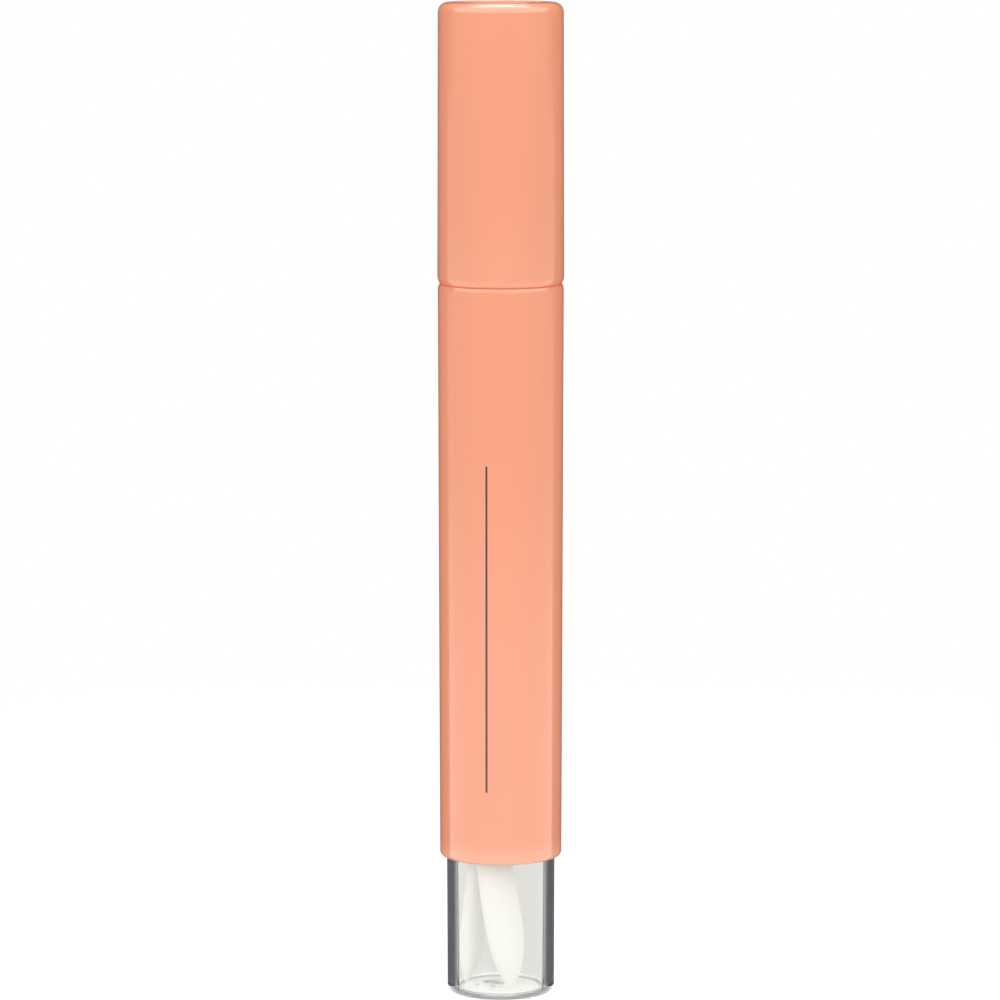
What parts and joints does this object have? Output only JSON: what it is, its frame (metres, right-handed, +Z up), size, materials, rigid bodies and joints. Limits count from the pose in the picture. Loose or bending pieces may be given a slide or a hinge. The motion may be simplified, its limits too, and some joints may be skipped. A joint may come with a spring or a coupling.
{
  "type": "nail care pen",
  "caption": "Round felt-tip nail care pen with a pull-off cap, an oil reservoir in its barrel and a clear tail cap that stores spare felt nibs.",
  "frame": {"origin": "centre of the tail cap's flat base, on the pen's axis", "axes": "+Z up along the pen from the tail cap to the cap, -Y towards the side with the printed line"},
  "size_m": [0.016, 0.016, 0.1263],
  "materials": {
    "orange_plastic": "satin moulded polypropylene",
    "clear_plastic": "clear moulded styrene",
    "white_plastic": "natural moulded polyethylene",
    "felt": "bonded polyester felt, cut to a leaf-shaped nib",
    "fibre": "oil-soaked fibre rod",
    "film": "thin wrap film"
  },
  "bodies": {
    "barrel": {"barrel": "orange_plastic", "nib_holder": "white_plastic", "working_nib": "felt", "reservoir_core": "fibre", "reservoir_sleeve": "film", "rear_plug": "white_plastic"},
    "cap": {"cap_shell": "orange_plastic", "cap_liner": "white_plastic"},
    "tail_cap": {"tail_cap": "clear_plastic"},
    "spare_nib_1": {"spare_nib_1": "felt"},
    "spare_nib_2": {"spare_nib_2": "felt"}
  },
  "joints": [
    {"name": "cap_pull", "type": "slide", "parent": "barrel", "child": "cap", "axis": [0, 0, 1], "range_m": [0, 0.032]},
    {"name": "tail_cap_pull", "type": "slide", "parent": "tail_cap", "child": "barrel", "axis": [0, 0, 1], "range_m": [0, 0.02]},
    {"name": "spare_nib_1_lift", "type": "slide", "parent": "tail_cap", "child": "spare_nib_1", "axis": [0, 0, 1], "range_m": [0, 0.0015]},
    {"name": "spare_nib_2_lift", "type": "slide", "parent": "tail_cap", "child": "spare_nib_2", "axis": [0, 0, 1], "range_m": [0, 0.0015]}
  ]
}
